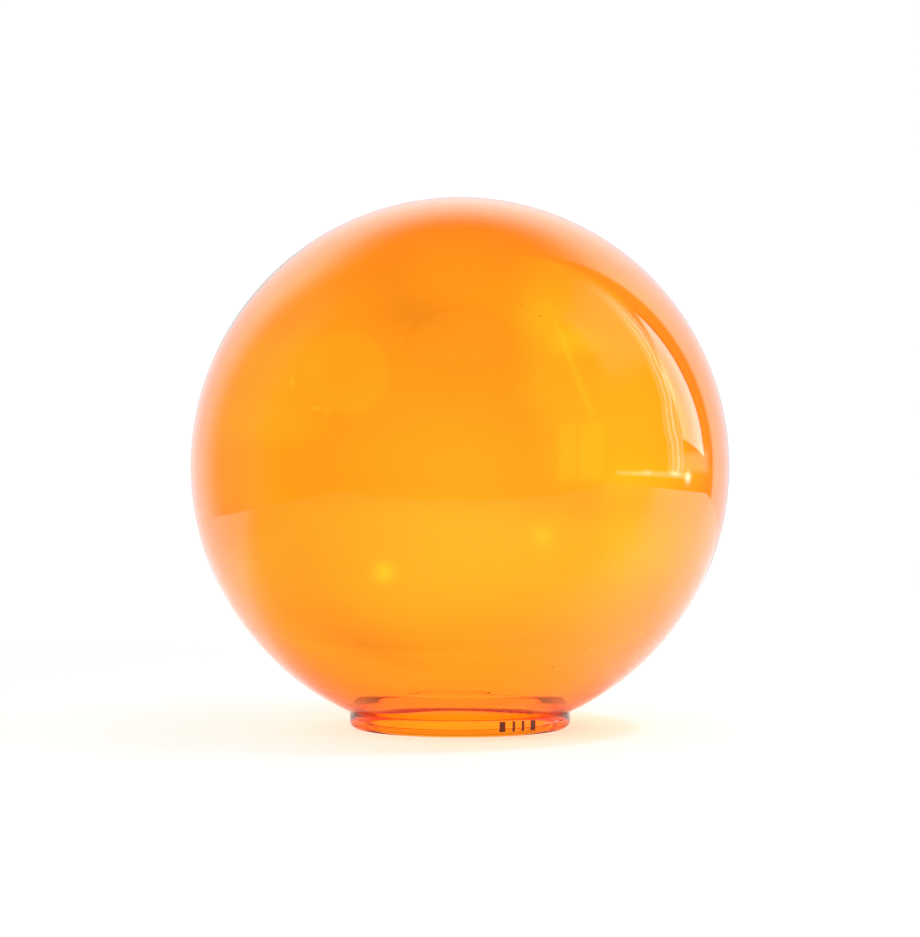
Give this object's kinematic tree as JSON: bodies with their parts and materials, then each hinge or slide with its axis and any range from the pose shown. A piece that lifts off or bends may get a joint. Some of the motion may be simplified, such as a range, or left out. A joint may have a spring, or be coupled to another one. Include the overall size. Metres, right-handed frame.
{
  "type": "glass globe shade",
  "caption": "Hollow amber glass globe, open at the bottom, with a short thick fitter lip that stands on a table or hangs in a globe holder.",
  "frame": {"origin": "centre of the mouth, in the plane that the lip stands on", "axes": "+Z along the globe's axis, from the mouth to the crown; -Y is the side seen in front, with the mark to its right"},
  "size_m": [0.2, 0.2, 0.1973],
  "materials": {
    "amber_glass": "clear, fire polished",
    "collar_glass": "clear, pressed, with faint tooling rings",
    "mark_enamel": "fired enamel"
  },
  "bodies": {
    "root": {"globe_shell": "amber_glass", "fitter_collar": "collar_glass", "collar_mark": "mark_enamel"}
  },
  "joints": []
}
